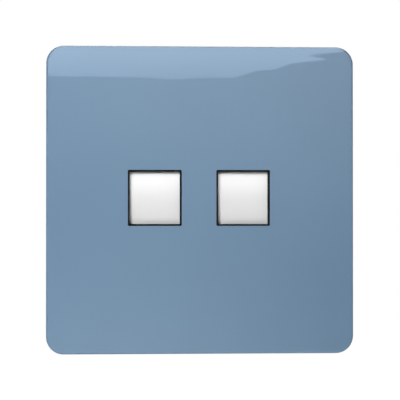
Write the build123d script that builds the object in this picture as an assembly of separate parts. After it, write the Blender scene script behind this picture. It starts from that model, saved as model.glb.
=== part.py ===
from build123d import *
import os

# Double data socket: a clip-on wall plate with two shuttered 8-way modular jacks.
# Units are millimetres. The origin is the centre of the two fixing holes, on the wall.
# x runs to the right as seen from the front, y from the front into the wall, z up.

# Sides that stand for a circle on small pins and holes that repeat
round_sides = 8

# Face plate
plate_width = 87.0
plate_height = 87.0
plate_projection = 9.0
plate_corner_radius = 5.0
plate_edge_radius = 0.6
plate_wall = 2.4
skirt_wall = 2.4
window_width = 15.2
window_height = 15.8
window_rise = 0.6
window_shift = -0.4
window_wall = 1.2
window_corner_radius = 0.3
pry_notch_width = 9.0
pry_notch_depth = 1.4

# Snap nubs that hold the plate on its frame
nub_length = 8.0
nub_height = 0.7
nub_ramp = 1.2
nub_spacing = 46.0
nub_setback = 2.4
nub_clearance = 0.15

# Mounting frame
frame_clearance = 0.3
frame_rim = 1.6
frame_web = 2.0
frame_ledge = 2.0
frame_fence_height = 2.2
frame_rib = 1.2
frame_rib_spacing = 42.0
screw_spacing = 60.3
screw_slot_width = 4.0
screw_slot_length = 6.5
screw_pad_width = 9.0

# Data modules, two side by side
module_pitch = 25.0
module_height = 50.0
module_gap = 0.1
module_wall = 1.2
module_front_wall = 0.7
keeper_thickness = 1.5
keeper_clearance = 0.1
collar_clearance = 0.1
collar_wall = 0.4
collar_recess = 0.25
snap_arm_width = 8.0
snap_arm_thickness = 1.2
snap_barb = 0.5
snap_clearance = 0.1
stake_diameter = 1.6
stake_head_diameter = 2.6
stake_head_height = 0.6
stake_inset = 4.5

# Shutter that slides up behind the window, and its return spring
shutter_pad = 0.9
shutter_base = 0.7
shutter_crown = 0.75
shutter_overlap = 0.8
shutter_shoulder = 0.7
shutter_clearance = 0.15
shutter_side_clearance = 0.1
shutter_stop_gap = 0.05
rail_width = 0.8
rail_height = 0.5
ear_height = 2.0
spring_diameter = 2.0
spring_wire = 0.3
spring_wire_sides = 6
spring_turns = 8
spring_turn_facets = 10
spring_clearance = 0.1
spring_post_diameter = 1.1
spring_post_height = 3.0

# Jack: the moulded port that a data plug enters
jack_width = 15.0
jack_height = 17.0
jack_depth = 13.8
jack_clearance = 0.1
jack_collar_wall = 1.2
jack_collar_length = 4.5
jack_nub_length = 5.0
jack_nub_height = 0.5
jack_nub_ramp = 1.4
port_width = 11.9
port_height = 6.8
jack_back_wall = 1.3
latch_width = 6.3
latch_throat_width = 3.9
latch_shoulder_height = 1.4
latch_height = 2.6
latch_lip = 1.2
mouth_bevel = 0.3

# Eight sprung contacts and the carrier that they lie in
contact_count = 8
contact_pitch = 1.02
contact_width = 0.45
contact_thickness = 0.35
contact_bend_radius = 0.4
contact_slope = 10.0
contact_nose = 0.4
contact_gap = 0.05
comb_depth = 0.8
comb_height = 3.2
comb_entry = 0.4
comb_clearance = 0.1
carrier_height = 2.1
carrier_margin = 0.5
carrier_clearance = 0.1
pocket_lip = 1.8
pocket_throat = 1.6

# Circuit board and the block of wire terminals behind it
board_thickness = 1.2
contact_hole = 0.75
tail_clearance = 0.1
terminal_base = 1.8
terminal_height = 7.0
terminal_pitch = 3.9
terminal_rows = 4
terminal_channel = 7.2
wire_slot_width = 0.9
wire_slot_depth = 4.6
lead_in_width = 2.2
lead_in_depth = 1.2
blade_width = 2.5
blade_thickness = 0.5
blade_slit = 0.4
blade_recess = 1.0
blade_tail = 0.8
blade_clearance = 0.05
latch_arm_width = 6.0
latch_arm_thickness = 1.0
latch_arm_reach = 5.5
latch_arm_window = 3.4
latch_arm_window_length = 2.0
latch_arm_bridge = 0.8
latch_arm_clearance = 0.05
latch_nub_height = 0.6

# Depths that follow from them, from the front to the back
wall_plane = 0.0
plate_front = wall_plane - plate_projection
plate_inner = plate_front + plate_wall
module_face = plate_front + window_wall
channel_front = module_face + module_front_wall
shutter_front = channel_front + shutter_clearance
shutter_shelf = shutter_front + shutter_pad
shutter_back = shutter_shelf + shutter_base
channel_back = shutter_back + shutter_clearance
seat = channel_back + keeper_thickness
web_back = seat + frame_web
jack_back = channel_back + jack_depth
port_back = jack_back - jack_back_wall
board_back = jack_back + board_thickness
base_back = board_back + terminal_base
terminal_tip = base_back + terminal_height

# Outlines that follow from them
cavity_width = plate_width - 2 * skirt_wall
cavity_height = plate_height - 2 * skirt_wall
frame_width = cavity_width - 2 * frame_clearance
frame_height = cavity_height - 2 * frame_clearance
frame_radius = max(plate_corner_radius - skirt_wall - frame_clearance, frame_clearance)
modules_width = 2 * module_pitch + module_gap
modules_height = module_height + module_gap
module_width = module_pitch - module_gap
module_body_height = module_height - module_gap
tray_width = module_width - 2 * module_wall
tray_height = module_body_height - 2 * module_wall
aperture_height = modules_height - 2 * frame_ledge
collar_width = window_width - 2 * collar_clearance
collar_height = window_height - 2 * collar_clearance
opening_width = collar_width - 2 * collar_wall
opening_height = collar_height - 2 * collar_wall
pad_width = opening_width + 2 * shutter_overlap
shutter_width = pad_width + 2 * shutter_shoulder
shutter_height = opening_height + 2 * shutter_overlap
shutter_bottom = window_rise - shutter_height / 2
rail_place = pad_width / 2 + shutter_side_clearance + rail_width / 2
gap_place = (rail_place + rail_width / 2 + tray_width / 2) / 2
spring_place = gap_place - window_shift / 2
spring_depth = shutter_shelf + shutter_base / 2
spring_bottom = shutter_bottom + ear_height
spring_top = tray_height / 2
port_top = window_rise + (port_height + latch_height) / 2
port_bottom = port_top - port_height
contact_rank = contact_pitch * (contact_count - 1)
carrier_width = contact_rank + contact_width + 2 * carrier_margin
carrier_front = channel_back + pocket_lip + pocket_throat
contact_level = port_top + contact_thickness / 2
terminal_bar = (jack_width - terminal_channel) / 2
terminal_place = (terminal_channel + terminal_bar) / 2

# Where each module's window and jack stand across the plate
window_places = {"left": window_shift - module_pitch / 2, "right": window_shift + module_pitch / 2}


def span(centre, length):
    """Low and high ends of a length about its centre."""
    return centre - length / 2, centre + length / 2


def block(x, y, z):
    """Box between the low and high ends given along each axis."""
    ends = (x, y, z)
    centre = [(low + high) / 2 for low, high in ends]
    return Pos(*centre) * Box(*[high - low for low, high in ends])


def slab(outline, front, back):
    """Front-view outline (x right, z up) made solid between two depths."""
    return extrude(Plane.XZ.offset(-back) * outline, back - front, dir=(0, -1, 0))


def side_slice(outline, x):
    """Side-view outline (y back, z up) made solid between two places across."""
    low, high = x
    return extrude(Plane.YZ.offset(low) * outline, high - low, dir=(1, 0, 0))


def ramp(heel, toe, foot, rise, x):
    """Snap nub: steep at the heel, sloping to the toe, standing on the level foot."""
    return side_slice(Polygon((heel, foot), (toe, foot), (heel, foot + rise), align=None), x)


def upright_pin(x, y, z, diameter):
    """Round pin or hole along z."""
    low, high = z
    return Pos(x, y, (low + high) / 2) * Cylinder(diameter / 2, high - low)


def level_pin(x, z, y, diameter):
    """Small pin or hole along y, with few sides."""
    return slab(Pos(x, z) * RegularPolygon(diameter / 2, round_sides), *y)


def nub_places():
    """Centre of each snap nub across the plate, with its side: 1 for the top, -1 for the bottom."""
    return [(end * nub_spacing / 2, side) for side in (1, -1) for end in (-1, 1)]


def make_face_plate():
    """Gloss moulded plate: a shallow lid with two windows, a pocket for the modules and snap nubs."""
    lid = slab(RectangleRounded(plate_width, plate_height, plate_corner_radius), plate_front, wall_plane)
    lid = fillet(lid.faces().sort_by(Axis.Y)[0].edges(), plate_edge_radius)
    cavity_radius = frame_radius + frame_clearance
    lid -= slab(RectangleRounded(cavity_width, cavity_height, cavity_radius), plate_inner, wall_plane)
    pocket = Rectangle(modules_width + 2 * frame_clearance, modules_height + 2 * frame_clearance)
    lid -= slab(pocket, module_face, plate_inner)
    window = RectangleRounded(window_width, window_height, window_corner_radius)
    for place in window_places.values():
        lid -= slab(Pos(place, window_rise) * window, plate_front, module_face)
    notch_side = (-plate_height / 2, -cavity_height / 2)
    lid -= block(span(0, pry_notch_width), (wall_plane - pry_notch_depth, wall_plane), notch_side)
    heel = wall_plane - nub_setback
    for place, side in nub_places():
        foot = side * cavity_height / 2
        lid += ramp(heel, heel + nub_ramp, foot, -side * nub_height, span(place, nub_length))
    return lid


def make_mounting_frame():
    """Moulded frame behind the plate: rim, web with fixing slots, and a pocket that holds both modules."""
    outline = RectangleRounded(frame_width, frame_height, frame_radius)
    inner = Rectangle(frame_width - 2 * frame_rim, frame_height - 2 * frame_rim)
    frame = slab(outline - inner, plate_inner, wall_plane) + slab(outline, seat, web_back)
    pocket = Rectangle(modules_width, modules_height)
    fence = Rectangle(modules_width + 2 * frame_rib, modules_height + 2 * frame_rib) - pocket
    frame += slab(fence, seat - frame_fence_height, seat)
    for end in (-1, 1):
        frame += frame_ribs(end)
        pad = Pos(end * screw_spacing / 2) * SlotOverall(screw_slot_length + screw_pad_width, screw_pad_width)
        frame += slab(pad, seat, wall_plane)
    frame -= slab(Rectangle(modules_width, aperture_height), plate_inner, wall_plane)
    for end in (-1, 1):
        slot = Pos(end * screw_spacing / 2) * SlotOverall(screw_slot_length, screw_slot_width)
        frame -= slab(slot, plate_inner, wall_plane)
    heel = wall_plane - nub_setback
    for place, side in nub_places():
        height = sorted((side * frame_height / 2, side * (frame_height / 2 - nub_height)))
        depth = (heel - nub_clearance, heel + nub_ramp + nub_clearance)
        frame -= block(span(place, nub_length + 2 * nub_clearance), depth, height)
    return frame


def frame_ribs(end):
    """Stiffening ribs on the wall side of the web, from the modules' opening out to the rim."""
    depth = (web_back, wall_plane)
    across = sorted((end * modules_width / 2, end * (frame_width / 2 - frame_rim)))
    upright = sorted((end * aperture_height / 2, end * (frame_height / 2 - frame_rim)))
    ribs = Part()
    for place in span(0, frame_rib_spacing):
        ribs += block(across, depth, span(place, frame_rib))
        ribs += block(span(place, frame_rib), depth, upright)
    return ribs


def stake_places(x):
    """Three heat-staked pins hold the keeper in the tray; the spring takes the fourth corner."""
    middle = x - window_shift / 2
    height = module_height / 2 - stake_inset
    return [(middle - gap_place, height), (middle - gap_place, -height), (middle + gap_place, -height)]


def make_module_front(x):
    """Dark tray with the collar that lines the plate's window and the rails the shutter runs between."""
    middle = Pos(x - window_shift)
    tray = slab(middle * Rectangle(module_width, module_body_height), module_face, seat)
    tray -= slab(middle * Rectangle(tray_width, tray_height), channel_front, seat)
    collar = Pos(x, window_rise) * Rectangle(collar_width, collar_height)
    opening = Pos(x, window_rise) * Rectangle(opening_width, opening_height)
    tray += slab(collar, plate_front + collar_recess, module_face)
    for side in (-1, 1):
        rail = span(x + side * rail_place, rail_width)
        tray += block(rail, (channel_front, channel_front + rail_height), span(0, tray_height))
    stop = (shutter_bottom - shutter_stop_gap - module_wall, shutter_bottom - shutter_stop_gap)
    tray += block(span(x, shutter_width), (channel_front, shutter_back), stop)
    for place, height in stake_places(x):
        tray += level_pin(place, height, (channel_front, seat), stake_diameter)
        tray += slab(Pos(place, height) * Circle(stake_head_diameter / 2), seat, seat + stake_head_height)
    return tray - slab(opening, plate_front, channel_front)


def make_module_back(x):
    """Keeper that closes the tray, holds the jack in its collar and snaps into the frame."""
    outline = Rectangle(tray_width - 2 * keeper_clearance, tray_height - 2 * keeper_clearance)
    keeper = slab(Pos(x - window_shift) * outline, channel_back, seat)
    collar = Rectangle(jack_width + 2 * jack_collar_wall, jack_height + 2 * jack_collar_wall)
    bore = Rectangle(jack_width + 2 * jack_clearance, jack_height + 2 * jack_clearance)
    keeper += slab(Pos(x, window_rise) * collar, seat, seat + jack_collar_length)
    keeper -= slab(Pos(x, window_rise) * bore, channel_back, seat + jack_collar_length)
    catch = span(x, jack_nub_length + 2 * jack_clearance)
    depth = (seat + jack_clearance, seat + jack_nub_ramp + 3 * jack_clearance)
    keeper -= block(catch, depth, span(window_rise, jack_height + 2 * jack_collar_wall))
    groove_depth = (channel_back, spring_depth + spring_diameter / 2 + spring_clearance)
    groove = span(x + spring_place, spring_diameter + 2 * spring_clearance)
    keeper -= block(groove, groove_depth, (spring_bottom, spring_top))
    for place, height in stake_places(x):
        keeper -= level_pin(place, height, (channel_back, seat), stake_diameter + 2 * keeper_clearance)
    for side in (-1, 1):
        keeper += snap_arm(x - window_shift, side)
    return keeper


def snap_arm(x, side):
    """Springy arm whose barb catches behind the frame's web at the top (1) or bottom (-1)."""
    outer = side * (aperture_height / 2 - snap_clearance)
    inner = outer - side * snap_arm_thickness
    catch = web_back + snap_clearance
    tip = catch + 2 * snap_barb
    barb = outer + side * (snap_barb + snap_clearance)
    arm = [(seat, inner), (tip, inner), (tip, outer), (catch, barb), (catch, outer), (seat, outer)]
    return side_slice(Polygon(*arm, align=None), span(x, snap_arm_width))


def make_shutter(x):
    """White sliding shutter: crowned pad seen in the window, wider base, and an ear for the spring."""
    top = shutter_bottom + shutter_height
    edge = shutter_front + shutter_crown
    crown = ThreePointArc((edge, shutter_bottom), (shutter_front, window_rise), (edge, top))
    shelf = [(shutter_shelf, top), (shutter_shelf, shutter_bottom)]
    sides = Polyline((edge, top), *shelf, (edge, shutter_bottom))
    shutter = side_slice(make_face(crown + sides), span(x, pad_width))
    base_depth = (shutter_shelf, shutter_back)
    shutter += block(span(x, shutter_width), base_depth, (shutter_bottom, top))
    ear = (x + shutter_width / 2, x + spring_place + spring_diameter / 2 + spring_clearance)
    shutter += block(ear, base_depth, (shutter_bottom, spring_bottom))
    post = (spring_bottom, spring_bottom + spring_post_height)
    return shutter + upright_pin(x + spring_place, spring_depth, post, spring_post_diameter)


def make_shutter_spring(x):
    """Compression spring between the shutter's ear and the top of the tray."""
    length = spring_top - spring_bottom - spring_wire - 2 * spring_clearance
    start = (x + spring_place, spring_depth, spring_bottom + spring_wire / 2 + spring_clearance)
    helix = Helix(length / spring_turns, length, (spring_diameter - spring_wire) / 2, center=start)
    facets = spring_turns * spring_turn_facets
    path = Polyline(*[helix @ (i / facets) for i in range(facets + 1)])
    section = Plane(origin=path @ 0, z_dir=path % 0) * RegularPolygon(spring_wire / 2, spring_wire_sides)
    return sweep(section, path, transition=Transition.RIGHT)


def make_jack_housing(x):
    """Port for the plug: stepped latch notch, contact pocket above, comb for the contacts, snap nubs."""
    body = slab(Pos(x, window_rise) * Rectangle(jack_width, jack_height), channel_back, jack_back)
    depth = (channel_back, port_back)
    body -= block(span(x, port_width), depth, (port_bottom, port_top))
    shoulder = (port_bottom - latch_shoulder_height, port_bottom)
    throat = (port_bottom - latch_height, port_bottom)
    body -= block(span(x, latch_width), depth, shoulder)
    body -= block(span(x, latch_throat_width), depth, throat)
    body -= block(span(x, latch_width), (channel_back + latch_lip, port_back), throat)
    body = chamfer(body.faces().sort_by(Axis.Y)[0].inner_wires()[0].edges(), mouth_bevel)
    for place in contact_places(x):
        comb = span(place, contact_width + 2 * comb_clearance)
        body -= block(comb, (port_back, port_back + comb_depth), (port_top - comb_height, port_top))
    pocket_width = carrier_width + 2 * carrier_clearance
    pocket = (port_top, port_top + carrier_height + carrier_clearance)
    body -= block(span(x, pocket_width), (channel_back + pocket_lip, jack_back), pocket)
    heel = seat + 2 * jack_clearance
    for side in (-1, 1):
        foot = window_rise + side * jack_height / 2
        nub = span(x, jack_nub_length)
        body += ramp(heel + jack_nub_ramp, heel, foot, side * jack_nub_height, nub)
        body += latch_nub(x, side)
    return body


def latch_window():
    """Low and high depths of the window in each latch arm of the terminal block."""
    front = board_back - latch_arm_reach + latch_arm_bridge
    return front, front + latch_arm_window_length


def latch_nub(x, side):
    """Wedge on the side of the jack that the terminal block's latch arm snaps over."""
    front, back = latch_window()
    foot = x + side * jack_width / 2
    rise = foot + side * latch_nub_height
    heel = front + latch_arm_clearance
    outline = Polygon((foot, heel), (foot, back - latch_arm_clearance), (rise, heel), align=None)
    low = window_rise - latch_arm_window / 2 + jack_clearance
    return extrude(Plane.XY.offset(low) * outline, latch_arm_window - 2 * jack_clearance, dir=(0, 0, 1))


def contact_places(x):
    """Centre of each contact across the jack."""
    return [x - contact_rank / 2 + contact_pitch * i for i in range(contact_count)]


def make_contact_carrier(x):
    """Insert above the port, with a groove under it for each contact."""
    height = (port_top, port_top + carrier_height)
    carrier = block(span(x, carrier_width), (carrier_front, jack_back), height)
    groove = (port_top, port_top + contact_thickness + contact_gap)
    for place in contact_places(x):
        carrier -= block(span(place, contact_width + 2 * contact_gap), (carrier_front, jack_back), groove)
    return carrier


def make_jack_contacts(x):
    """Eight sprung wires: from the board forward under the carrier, then back down the port to the comb."""
    bend = carrier_front - contact_nose
    run = Line((board_back, contact_level), (bend, contact_level))
    hook = JernArc((bend, contact_level), (-1, 0), contact_bend_radius, 180 - contact_slope)
    heading = hook % 1
    reach = (port_back + comb_entry - (hook @ 1).X) / heading.X
    spring_arm = Line(hook @ 1, (hook @ 1) + heading * reach)
    outline = trace(run + hook + spring_arm, contact_thickness)
    wires = [side_slice(outline, span(place, contact_width)) for place in contact_places(x)]
    return Compound([wire.solid() for wire in wires])


def terminal_places(x):
    """Centre of each wire terminal, across and up, in two columns."""
    middle = (terminal_rows - 1) / 2
    rows = [window_rise + (i - middle) * terminal_pitch for i in range(terminal_rows)]
    return [(x + side * terminal_place, row) for side in (-1, 1) for row in rows]


def make_jack_board(x):
    """Small circuit board between the jack and its terminal block."""
    board = slab(Pos(x, window_rise) * Rectangle(jack_width, jack_height), jack_back, board_back)
    for place in contact_places(x):
        board -= level_pin(place, contact_level, (jack_back, board_back), contact_hole)
    for place, row in terminal_places(x):
        tail = Rectangle(blade_thickness + 2 * tail_clearance, blade_tail + 2 * tail_clearance)
        board -= slab(Pos(place, row) * tail, jack_back, board_back)
    return board


def make_idc_block(x):
    """Two columns of wire terminals on a base, with arms that latch onto the jack."""
    body = slab(Pos(x, window_rise) * Rectangle(jack_width, jack_height), board_back, base_back)
    for side in (-1, 1):
        bar = span(x + side * terminal_place, terminal_bar)
        body += block(bar, (base_back, terminal_tip), span(window_rise, jack_height))
        body += latch_arm(x, side)
    for place, row in terminal_places(x):
        bar = span(place, terminal_bar)
        body -= block(bar, (terminal_tip - wire_slot_depth, terminal_tip), span(row, wire_slot_width))
        lead = [(terminal_tip, end) for end in span(row, lead_in_width)]
        body -= side_slice(Polygon(*lead, (terminal_tip - lead_in_depth, row), align=None), bar)
        pocket = span(place, blade_thickness + 2 * blade_clearance)
        body -= block(pocket, (base_back, terminal_tip), span(row, blade_width + 2 * blade_clearance))
        body -= block(pocket, (board_back, base_back), span(row, blade_tail + 2 * blade_clearance))
    return body


def latch_arm(x, side):
    """Arm of the terminal block that runs forward along the jack and snaps over its nub."""
    inner = jack_width / 2 + latch_arm_clearance
    across = sorted((x + side * inner, x + side * (inner + latch_arm_thickness)))
    arm = block(across, (board_back - latch_arm_reach, base_back), span(window_rise, latch_arm_width))
    root = sorted((x + side * jack_width / 2, x + side * inner))
    arm += block(root, (board_back, base_back), span(window_rise, latch_arm_width))
    return arm - block(across, latch_window(), span(window_rise, latch_arm_window))


def make_idc_contacts(x):
    """Forked blade in each terminal, with a tail through the board."""
    tip = terminal_tip - blade_recess
    blades = []
    for place, row in terminal_places(x):
        width = span(row, blade_width)
        thickness = span(place, blade_thickness)
        blade = block(thickness, (base_back, tip), width)
        blade += block(thickness, (jack_back, base_back), span(row, blade_tail))
        slit_root = terminal_tip - wire_slot_depth
        blade -= block(thickness, (slit_root, tip), span(row, blade_slit))
        blades.append(blade.solid())
    return Compound(blades)


# What makes each piece of a module
module_makers = {
    "module_front": make_module_front,
    "module_back": make_module_back,
    "shutter": make_shutter,
    "shutter_spring": make_shutter_spring,
    "jack_housing": make_jack_housing,
    "contact_carrier": make_contact_carrier,
    "jack_contacts": make_jack_contacts,
    "jack_board": make_jack_board,
    "idc_block": make_idc_block,
    "idc_contacts": make_idc_contacts,
}

pieces = {"face_plate": make_face_plate(), "mounting_frame": make_mounting_frame()}
for side_name, window_place in window_places.items():
    for piece_name, make_piece in module_makers.items():
        pieces[f"{piece_name}_{side_name}"] = make_piece(window_place)

os.makedirs("parts", exist_ok=True)
for node, shape in pieces.items():
    export_step(shape, f"parts/{node}.step")
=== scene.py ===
import math

import bpy
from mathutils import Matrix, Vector


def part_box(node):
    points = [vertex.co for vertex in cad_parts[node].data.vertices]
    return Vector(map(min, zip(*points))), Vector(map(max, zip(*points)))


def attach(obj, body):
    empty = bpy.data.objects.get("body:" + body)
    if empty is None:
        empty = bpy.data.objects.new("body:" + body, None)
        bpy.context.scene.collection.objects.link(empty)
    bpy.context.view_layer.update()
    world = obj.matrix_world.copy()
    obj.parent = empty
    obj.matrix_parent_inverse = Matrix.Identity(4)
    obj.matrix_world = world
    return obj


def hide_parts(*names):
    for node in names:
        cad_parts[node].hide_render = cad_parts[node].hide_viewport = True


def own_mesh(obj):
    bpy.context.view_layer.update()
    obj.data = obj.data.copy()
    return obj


# Looks of the double data socket, in metres, in the frame of the CAD part.

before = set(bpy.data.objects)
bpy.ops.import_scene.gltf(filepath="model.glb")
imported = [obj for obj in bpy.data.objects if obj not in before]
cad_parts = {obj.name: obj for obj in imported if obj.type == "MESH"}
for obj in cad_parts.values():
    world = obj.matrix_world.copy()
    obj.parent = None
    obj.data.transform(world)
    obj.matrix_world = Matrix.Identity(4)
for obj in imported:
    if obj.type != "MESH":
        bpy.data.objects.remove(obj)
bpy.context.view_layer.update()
scene = bpy.context.scene

white = (1.0, 1.0, 1.0, 1.0)
millimetres = 1000

# Camera, as the photograph was taken: a little from the left and from below
camera_azimuth = -3.05
camera_elevation = -0.50
camera_distance = 0.40
camera_aim_shift = -0.00014
view_width = 0.11305
sensor_width = 0.036

# Light that falls on the object
world_level = 0.08
key_place = Vector((-0.115, -0.36, 0.08))
key_size = 0.10
key_power = 1.04
rear_right_place = Vector((0.45, 0.35, 0.30))
rear_right_power = 2.4
rear_left_place = Vector((-0.45, 0.40, 0.30))
rear_left_power = 1.8
rear_size = 0.40

# Softbox that the plate mirrors: a card that gets brighter from its lower edge up
softbox_depth = -1.20
softbox_half_width = 0.30
softbox_top = 0.60
softbox_colour = (0.95, 0.97, 1.0, 1.0)
softbox_level = 6.8
softbox_edge_level = 4.6
softbox_fade = (0.135, 0.180)

# Lower edge of the softbox, where it shows on the plate's face: across and up from the middle
softbox_edge = [
    (-0.0600, 0.0353),
    (-0.0150, 0.0346),
    (-0.0085, 0.0340),
    (-0.0010, 0.0344),
    (0.0095, 0.0345),
    (0.0165, 0.0368),
    (0.0208, 0.0369),
    (0.0257, 0.0387),
    (0.0360, 0.0399),
    (0.0308, 0.0411),
    (0.0395, 0.0421),
    (0.0600, 0.0421),
]

# White cards: each edge across the object is given by its depth and height
overhead_half_width = 0.50
overhead_front = (-1.20, 0.62)
overhead_back = (0.30, 1.10)
overhead_level = 6.5
scrim_depth = -1.25
scrim_half_size = 0.90
scrim_level = 0.81
bounce_height = -0.13
bounce_half_width = 0.40
bounce_front = (-0.70, bounce_height)
bounce_back = (-0.02, bounce_height)
bounce_level = 1.0

# Soft round lights on the cards: place, reach of the even middle and of the rim, and level
scrim_glows = [
    ((0.055, scrim_depth, 0.43), 0.18, 0.57, 2.4),
    ((-0.035, scrim_depth, -0.285), 0.02, 0.35, 2.0),
]
bounce_glows = [
    ((0.0, -0.32, bounce_height), 0.05, 0.28, 2.8),
]

# Floor: its own light lifts it to white, a little less near the object, where its shadow falls
floor_level = -0.14
floor_radius = 0.90
floor_sides = 64
floor_colour = (0.85, 0.85, 0.85, 1.0)
floor_shadow_reach = 0.20
floor_white_reach = 0.45
floor_lift = 0.40

# Part of a noise pattern's range over which a colour changes
pattern_low = 0.3
pattern_high = 0.7

# Moulded plastic: flow marks with slow waves, and the fine grain of the tool.
# A look has its colour and the share by which that varies, the smoothest and the roughest finish,
# the grains a metre and their height, and the shader's own values where they aren't the usual ones.
flow_scale = 45.0
flow_detail = 3.0
grain_detail = 1.0
usual_wave_height = 4e-6
plastic_looks = {
    "plate_blue": {
        "colour": (0.144, 0.243, 0.362),
        "spread": 0.015,
        "gloss": (0.012, 0.019),
        "grain_scale": 1500.0,
        "grain_height": 2e-8,
        "sockets": {"IOR": 1.5, "Specular Tint": (0.72, 0.86, 1.0, 1.0)},
    },
    "frame_white": {
        "colour": (0.74, 0.73, 0.70),
        "spread": 0.02,
        "gloss": (0.38, 0.50),
        "grain_scale": 2500.0,
        "grain_height": 6e-6,
    },
    "module_black": {
        "colour": (0.018, 0.018, 0.019),
        "spread": 0.12,
        "gloss": (0.42, 0.55),
        "grain_scale": 3000.0,
        "grain_height": 6e-6,
    },
    # Window linings: the modules' black made darker and less glossy, painted shade that deepens the
    # border round the shutters
    "painted_shade_black": {
        "colour": (0.004, 0.004, 0.0045),
        "spread": 0.10,
        "gloss": (0.42, 0.55),
        "grain_scale": 3000.0,
        "grain_height": 6e-6,
        "sockets": {"Specular IOR Level": 0.03},
    },
    "shutter_white": {
        "colour": (0.738, 0.738, 0.733),
        "spread": 0.005,
        "gloss": (0.27, 0.29),
        "grain_scale": 3500.0,
        "grain_height": 2e-7,
        "wave_height": 1e-6,
        "sockets": {"IOR": 1.6},
    },
    "jack_black": {
        "colour": (0.022, 0.022, 0.023),
        "spread": 0.15,
        "gloss": (0.40, 0.58),
        "grain_scale": 4000.0,
        "grain_height": 8e-6,
    },
    "carrier_grey": {
        "colour": (0.22, 0.23, 0.24),
        "spread": 0.05,
        "gloss": (0.40, 0.52),
        "grain_scale": 3000.0,
        "grain_height": 5e-6,
    },
    "terminal_white": {
        "colour": (0.70, 0.71, 0.70),
        "spread": 0.02,
        "gloss": (0.25, 0.36),
        "grain_scale": 3000.0,
        "grain_height": 4e-6,
    },
}

# Bare or plated metal: tarnish in its colour, and streaks along its drawing or rolling direction
tarnish_scale = 350.0
tarnish_detail = 3.0
streak_scale = 900.0
streak_detail = 4.0
streak_height = 4e-6
metal_looks = {
    "spring_steel": {
        "colour": (0.56, 0.55, 0.53),
        "spread": 0.12,
        "gloss": (0.18, 0.34),
        "stretch": (1.0, 1.0, 4.0),
    },
    "contact_gold": {
        "colour": (0.83, 0.60, 0.24),
        "spread": 0.06,
        "gloss": (0.16, 0.28),
        "stretch": (6.0, 0.3, 6.0),
    },
    "blade_tin": {
        "colour": (0.66, 0.65, 0.61),
        "spread": 0.08,
        "gloss": (0.28, 0.42),
        "stretch": (4.0, 0.3, 4.0),
    },
}

# Circuit board
board_slot = "board_green"
weave_scale = 1400.0
weave_detail = 1.0
weave_height = 1e-5
lacquer_dark = (0.008, 0.085, 0.030)
lacquer_light = (0.014, 0.125, 0.046)
lacquer_gloss = (0.22, 0.34)
laminate_colour = (0.42, 0.36, 0.16, 1.0)

# CAD pieces that line the windows, and their material: the modules' own black, made darker and less
# glossy as painted shade for the dark border round each shutter
window_linings = ("module_front_left", "module_front_right")
painted_shade_look = "painted_shade_black"

# Shutter springs
spring_slot = "spring_steel"
spring_wire = 0.0003
spring_turns = 20
spring_closed_turns = 1
spring_turn_steps = 28
spring_wire_sides = 10


def new_material(name, sockets=None):
    """Principled material with the values that are the same all over its surface."""
    material = bpy.data.materials.new(name)
    material.use_nodes = True
    shader = material.node_tree.nodes["Principled BSDF"]
    for socket, value in (sockets or {}).items():
        shader.inputs[socket].default_value = value
    return material


def noise(material, scale, detail, stretch=(1.0, 1.0, 1.0)):
    """Noise on the object's own coordinates, with about scale features a metre."""
    tree = material.node_tree
    place = tree.nodes.new("ShaderNodeTexCoord")
    mapping = tree.nodes.new("ShaderNodeMapping")
    mapping.inputs["Scale"].default_value = stretch
    texture = tree.nodes.new("ShaderNodeTexNoise")
    texture.inputs["Scale"].default_value = scale
    texture.inputs["Detail"].default_value = detail
    tree.links.new(place.outputs["Object"], mapping.inputs["Vector"])
    tree.links.new(mapping.outputs["Vector"], texture.inputs["Vector"])
    return texture.outputs["Fac"]


def set_colour(material, pattern, dark, light):
    """Base colour that goes from dark to light over the pattern's middle range."""
    tree = material.node_tree
    ramp = tree.nodes.new("ShaderNodeValToRGB")
    first, last = ramp.color_ramp.elements
    first.position = pattern_low
    first.color = (*dark, 1.0)
    last.position = pattern_high
    last.color = (*light, 1.0)
    tree.links.new(pattern, ramp.inputs["Fac"])
    tree.links.new(ramp.outputs["Color"], tree.nodes["Principled BSDF"].inputs["Base Color"])
    return ramp.outputs["Color"]


def set_roughness(material, pattern, smooth, rough):
    """Roughness that varies between two values with the pattern."""
    tree = material.node_tree
    spread = tree.nodes.new("ShaderNodeMapRange")
    spread.inputs["To Min"].default_value = smooth
    spread.inputs["To Max"].default_value = rough
    tree.links.new(pattern, spread.inputs["Value"])
    tree.links.new(spread.outputs["Result"], tree.nodes["Principled BSDF"].inputs["Roughness"])


def set_bump(material, *layers):
    """Surface relief: each layer is a pattern and its height in metres."""
    tree = material.node_tree
    normal = None
    for pattern, relief in layers:
        bump = tree.nodes.new("ShaderNodeBump")
        bump.inputs["Strength"].default_value = 1.0
        bump.inputs["Distance"].default_value = relief
        tree.links.new(pattern, bump.inputs["Height"])
        if normal is not None:
            tree.links.new(normal, bump.inputs["Normal"])
        normal = bump.outputs["Normal"]
    tree.links.new(normal, tree.nodes["Principled BSDF"].inputs["Normal"])


def shades(colour, spread):
    """The colour made darker and lighter by a small share."""
    dark = tuple(channel * (1.0 - spread) for channel in colour)
    light = tuple(channel * (1.0 + spread) for channel in colour)
    return dark, light


def moulded(
    name, colour, spread, gloss, grain_scale, grain_height, wave_height=usual_wave_height, sockets=None
):
    """Injection-moulded plastic: faint flow mottling, a fine tool grain and slow sink waviness."""
    material = new_material(name, sockets)
    flow = noise(material, flow_scale, flow_detail)
    grain = noise(material, grain_scale, grain_detail)
    set_colour(material, flow, *shades(colour, spread))
    set_roughness(material, grain, *gloss)
    set_bump(material, (flow, wave_height), (grain, grain_height))
    return material


def drawn_metal(name, colour, spread, gloss, stretch):
    """Metal with a faint tarnish and the streaks of its drawing or rolling direction."""
    material = new_material(name, {"Metallic": 1.0})
    streaks = noise(material, streak_scale, streak_detail, stretch)
    tarnish = noise(material, tarnish_scale, tarnish_detail)
    set_colour(material, tarnish, *shades(colour, spread))
    set_roughness(material, streaks, *gloss)
    set_bump(material, (streaks, streak_height))
    return material


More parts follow.
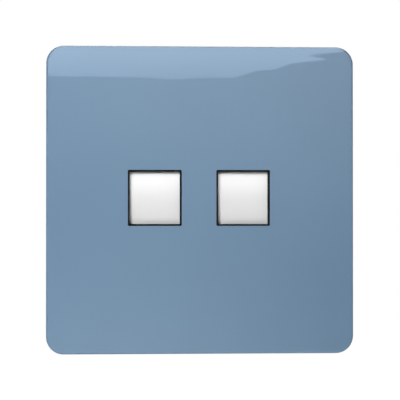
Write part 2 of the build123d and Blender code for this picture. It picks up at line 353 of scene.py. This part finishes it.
def circuit_board(name):
    """Green lacquer over a woven laminate that shows bare along the cut edges."""
    material = new_material(name)
    tree = material.node_tree
    weave = noise(material, weave_scale, weave_detail)
    lacquer = set_colour(material, weave, lacquer_dark, lacquer_light)
    geometry = tree.nodes.new("ShaderNodeNewGeometry")
    axes = tree.nodes.new("ShaderNodeSeparateXYZ")
    facing = tree.nodes.new("ShaderNodeMath")
    facing.operation = "ABSOLUTE"
    tree.links.new(geometry.outputs["True Normal"], axes.inputs["Vector"])
    tree.links.new(axes.outputs["Y"], facing.inputs[0])
    edge = tree.nodes.new("ShaderNodeMix")
    edge.data_type = "RGBA"
    edge.inputs["A"].default_value = laminate_colour
    tree.links.new(facing.outputs["Value"], edge.inputs["Factor"])
    tree.links.new(lacquer, edge.inputs["B"])
    tree.links.new(edge.outputs["Result"], tree.nodes["Principled BSDF"].inputs["Base Color"])
    set_roughness(material, weave, *lacquer_gloss)
    set_bump(material, (weave, weave_height))
    return material


def make_materials():
    """Finished material for each record slot, and the painted-shade black for the window linings, by
    name.
    """
    finishes = {name: moulded(name, **look) for name, look in plastic_looks.items()}
    for name, look in metal_looks.items():
        finishes[name] = drawn_metal(name, **look)
    finishes[board_slot] = circuit_board(board_slot)
    return finishes


def dress_cad_nodes(finishes):
    """Put the finished materials on the CAD pieces."""
    for name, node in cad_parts.items():
        for place in node.material_slots:
            slot_name = place.material.name.split(".")[0]
            # The window linings get the darker black that paints the shade of the window borders
            place.material = finishes[painted_shade_look if name in window_linings else slot_name]


def new_mesh(name, points, faces, material):
    """Mesh object in the scene, in the part's frame."""
    mesh = bpy.data.meshes.new(name)
    mesh.from_pydata(points, [], faces)
    mesh.materials.append(material)
    mesh.update()
    piece = bpy.data.objects.new(name, mesh)
    scene.collection.objects.link(piece)
    return piece


def spring_height(turn, length):
    """Height of the wire's centre at a turn: coils closed at both ends, evenly open between."""
    closed_rise = spring_closed_turns * spring_wire
    if turn <= spring_closed_turns:
        return turn * spring_wire
    if turn >= spring_turns - spring_closed_turns:
        return length - (spring_turns - turn) * spring_wire
    open_turns = spring_turns - 2 * spring_closed_turns
    return closed_rise + (turn - spring_closed_turns) / open_turns * (length - 2 * closed_rise)


def spring_points(foot, coil_radius, length):
    """Rings of points round the wire, from the foot of the spring to its top."""
    climb = Vector((0.0, 0.0, 1.0))
    points = []
    for step in range(spring_turns * spring_turn_steps + 1):
        turn = step / spring_turn_steps
        angle = 2 * math.pi * turn
        outward = Vector((math.cos(angle), math.sin(angle), 0.0))
        centre = foot + outward * coil_radius + climb * spring_height(turn, length)
        for side_step in range(spring_wire_sides):
            around = 2 * math.pi * side_step / spring_wire_sides
            spoke = outward * math.cos(around) + climb * math.sin(around)
            points.append(centre + spoke * spring_wire / 2)
    return points


def spring_faces():
    """Faces between the rings of points, and a cap on each end of the wire."""
    steps = spring_turns * spring_turn_steps
    faces = []
    for step in range(steps):
        first = step * spring_wire_sides
        for side_step in range(spring_wire_sides):
            here = first + side_step
            beside = first + (side_step + 1) % spring_wire_sides
            faces.append([here, beside, beside + spring_wire_sides, here + spring_wire_sides])
    faces.append(list(range(spring_wire_sides)))
    faces.append([steps * spring_wire_sides + i for i in reversed(range(spring_wire_sides))])
    return faces


def add_spring(side, material):
    """Round-wire return spring in the place of its CAD solid."""
    node = f"shutter_spring_{side}"
    low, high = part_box(node)
    middle = (low + high) / 2
    foot = Vector((middle.x, middle.y, low.z + spring_wire / 2))
    coil_radius = min(high.x - low.x, high.y - low.y) / 2 - spring_wire / 2
    length = high.z - low.z - spring_wire
    points = spring_points(foot, coil_radius, length)
    spring = new_mesh(f"return_spring_{side}", points, spring_faces(), material)
    spring.data.shade_smooth()
    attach(spring, "socket")
    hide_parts(node)
    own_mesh(spring)


def direct_view(tree):
    """Output that is 1 on rays that show a surface: camera, glossy and transmission rays."""
    path = tree.nodes.new("ShaderNodeLightPath")
    either = tree.nodes.new("ShaderNodeMath")
    either.operation = "MAXIMUM"
    tree.links.new(path.outputs["Is Camera Ray"], either.inputs[0])
    tree.links.new(path.outputs["Is Glossy Ray"], either.inputs[1])
    shown = tree.nodes.new("ShaderNodeMath")
    shown.operation = "MAXIMUM"
    tree.links.new(either.outputs["Value"], shown.inputs[0])
    tree.links.new(path.outputs["Is Transmission Ray"], shown.inputs[1])
    return shown.outputs["Value"]


def set_world():
    """White surroundings where they are seen, and plain even light elsewhere."""
    world = bpy.data.worlds.new("studio")
    world.use_nodes = True
    tree = world.node_tree
    tree.nodes.clear()
    light = tree.nodes.new("ShaderNodeBackground")
    light.inputs["Color"].default_value = white
    light.inputs["Strength"].default_value = world_level
    surroundings = tree.nodes.new("ShaderNodeBackground")
    surroundings.inputs["Color"].default_value = white
    mix = tree.nodes.new("ShaderNodeMixShader")
    output = tree.nodes.new("ShaderNodeOutputWorld")
    tree.links.new(direct_view(tree), mix.inputs["Fac"])
    tree.links.new(light.outputs["Background"], mix.inputs[1])
    tree.links.new(surroundings.outputs["Background"], mix.inputs[2])
    tree.links.new(mix.outputs["Shader"], output.inputs["Surface"])
    scene.world = world


def distance_from(tree, centre):
    """Output with the distance from a point."""
    place = tree.nodes.new("ShaderNodeTexCoord")
    reach = tree.nodes.new("ShaderNodeVectorMath")
    reach.operation = "DISTANCE"
    reach.inputs[1].default_value = centre
    tree.links.new(place.outputs["Object"], reach.inputs[0])
    return reach.outputs["Value"]


def height_up(tree):
    """Output with the height above the part's origin."""
    place = tree.nodes.new("ShaderNodeTexCoord")
    axes = tree.nodes.new("ShaderNodeSeparateXYZ")
    tree.links.new(place.outputs["Object"], axes.inputs["Vector"])
    return axes.outputs["Z"]


def fade(tree, measure, start, end, start_level, end_level):
    """Output that goes softly from one level to another as the measure goes from start to end."""
    level = tree.nodes.new("ShaderNodeMapRange")
    level.interpolation_type = "SMOOTHSTEP"
    level.inputs["From Min"].default_value = start
    level.inputs["From Max"].default_value = end
    level.inputs["To Min"].default_value = start_level
    level.inputs["To Max"].default_value = end_level
    tree.links.new(measure, level.inputs["Value"])
    return level.outputs["Result"]


def floor_material():
    """Matt floor, lifted to white where it is seen, so that only the shadow shows; clear from below."""
    material = bpy.data.materials.new("floor_white")
    material.use_nodes = True
    tree = material.node_tree
    tree.nodes.clear()
    matt = tree.nodes.new("ShaderNodeBsdfDiffuse")
    matt.inputs["Color"].default_value = floor_colour
    reach = distance_from(tree, (0.0, 0.0, floor_level))
    level = fade(tree, reach, floor_shadow_reach, floor_white_reach, floor_lift, 1.0)
    lift = tree.nodes.new("ShaderNodeMath")
    lift.operation = "MULTIPLY"
    glow = tree.nodes.new("ShaderNodeEmission")
    both = tree.nodes.new("ShaderNodeAddShader")
    tree.links.new(level, lift.inputs[0])
    tree.links.new(direct_view(tree), lift.inputs[1])
    tree.links.new(lift.outputs["Value"], glow.inputs["Strength"])
    tree.links.new(matt.outputs["BSDF"], both.inputs[0])
    tree.links.new(glow.outputs["Emission"], both.inputs[1])
    geometry = tree.nodes.new("ShaderNodeNewGeometry")
    clear = tree.nodes.new("ShaderNodeBsdfTransparent")
    side = tree.nodes.new("ShaderNodeMixShader")
    output = tree.nodes.new("ShaderNodeOutputMaterial")
    tree.links.new(geometry.outputs["Backfacing"], side.inputs["Fac"])
    tree.links.new(both.outputs["Shader"], side.inputs[1])
    tree.links.new(clear.outputs["BSDF"], side.inputs[2])
    tree.links.new(side.outputs["Shader"], output.inputs["Surface"])
    return material


def add_floor():
    """Round pale floor well below the object, which is mounted on a wall in use."""
    angles = [2 * math.pi * i / floor_sides for i in range(floor_sides)]
    rim = [(floor_radius * math.cos(a), floor_radius * math.sin(a), floor_level) for a in angles]
    new_mesh("floor", rim, [list(range(floor_sides))], floor_material())


def add_camera(face_centre):
    """Camera at the photograph's viewing angle, aimed near the middle of the plate's face."""
    azimuth = math.radians(camera_azimuth)
    elevation = math.radians(camera_elevation)
    level = math.cos(elevation)
    back = Vector((math.sin(azimuth) * level, -math.cos(azimuth) * level, math.sin(elevation)))
    lens = bpy.data.cameras.new("camera")
    lens.sensor_width = sensor_width * millimetres
    lens.lens = sensor_width * millimetres * camera_distance / view_width
    camera = bpy.data.objects.new("camera", lens)
    camera.location = face_centre + Vector((camera_aim_shift, 0.0, 0.0)) + back * camera_distance
    camera.rotation_mode = "QUATERNION"
    camera.rotation_quaternion = (-back).to_track_quat("-Z", "Y")
    scene.collection.objects.link(camera)
    scene.camera = camera
    return camera


def add_card(name, corners, colour, level):
    """Flat glowing card that shows in glossy surfaces alone; returns its nodes."""
    material = bpy.data.materials.new(name)
    material.use_nodes = True
    tree = material.node_tree
    tree.nodes.clear()
    glow = tree.nodes.new("ShaderNodeEmission")
    glow.inputs["Color"].default_value = colour
    glow.inputs["Strength"].default_value = level
    output = tree.nodes.new("ShaderNodeOutputMaterial")
    tree.links.new(glow.outputs["Emission"], output.inputs["Surface"])
    card = new_mesh(name, corners, [list(range(len(corners)))], material)
    card.visible_camera = False
    card.visible_diffuse = False
    card.visible_shadow = False
    return tree


def add_softbox(camera, face_centre):
    """Softbox in front of the plate; the plate mirrors its lower edge near the top of its face."""
    mirrored_eye = camera.location.copy()
    mirrored_eye.y = 2 * face_centre.y - camera.location.y
    reach = (softbox_depth - mirrored_eye.y) / (face_centre.y - mirrored_eye.y)
    corners = []
    for across, up in softbox_edge:
        seen = face_centre + Vector((across, 0.0, up))
        corners.append(mirrored_eye + (seen - mirrored_eye) * reach)
    corners[0].x = -softbox_half_width
    corners[-1].x = softbox_half_width
    corners.append(Vector((softbox_half_width, softbox_depth, softbox_top)))
    corners.append(Vector((-softbox_half_width, softbox_depth, softbox_top)))
    tree = add_card("softbox", corners, softbox_colour, softbox_level)
    level = fade(tree, height_up(tree), *softbox_fade, softbox_edge_level, softbox_level)
    tree.links.new(level, tree.nodes["Emission"].inputs["Strength"])


def add_glows(tree, level, glows):
    """Soft round lights on a card that has an even level elsewhere."""
    total = None
    for centre, middle, rim, rise in glows:
        both = tree.nodes.new("ShaderNodeMath")
        both.operation = "ADD"
        both.inputs[1].default_value = level
        glow = fade(tree, distance_from(tree, centre), middle, rim, rise, 0.0)
        tree.links.new(glow, both.inputs[0])
        if total is not None:
            tree.links.new(total, both.inputs[1])
        total = both.outputs["Value"]
    tree.links.new(total, tree.nodes["Emission"].inputs["Strength"])


def add_white_card(name, half_width, first, second, level):
    """White card across the object between two edges; returns its nodes."""
    outline = [(-half_width, first), (half_width, first), (half_width, second), (-half_width, second)]
    corners = [Vector((across, *edge)) for across, edge in outline]
    return add_card(name, corners, white, level)


def add_reflections():
    """White cards that the gloss mirrors: overhead, a scrim behind the softbox and one on the floor."""
    add_white_card("overhead", overhead_half_width, overhead_front, overhead_back, overhead_level)
    scrim_foot = (scrim_depth, -scrim_half_size)
    scrim_top = (scrim_depth, scrim_half_size)
    scrim = add_white_card("scrim", scrim_half_size, scrim_foot, scrim_top, scrim_level)
    add_glows(scrim, scrim_level, scrim_glows)
    bounce = add_white_card("bounce", bounce_half_width, bounce_front, bounce_back, bounce_level)
    add_glows(bounce, bounce_level, bounce_glows)


def add_lamp(name, place, size, power):
    """Soft square lamp that faces the object and isn't mirrored by glossy surfaces."""
    light = bpy.data.lights.new(name, "AREA")
    light.size = size
    light.energy = power
    lamp = bpy.data.objects.new(name, light)
    lamp.location = place
    lamp.rotation_mode = "QUATERNION"
    lamp.rotation_quaternion = (-place).to_track_quat("-Z", "Y")
    lamp.visible_camera = False
    lamp.visible_glossy = False
    scene.collection.objects.link(lamp)


plate_low, plate_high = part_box("face_plate")
plate_face = (plate_low + plate_high) / 2
plate_face.y = plate_low.y

materials = make_materials()
dress_cad_nodes(materials)
for spring_side in ("left", "right"):
    add_spring(spring_side, materials[spring_slot])

scene.view_settings.view_transform = "Standard"
set_world()
add_floor()
add_softbox(add_camera(plate_face), plate_face)
add_reflections()
add_lamp("key", key_place, key_size, key_power)
add_lamp("rear_right", rear_right_place, rear_size, rear_right_power)
add_lamp("rear_left", rear_left_place, rear_size, rear_left_power)
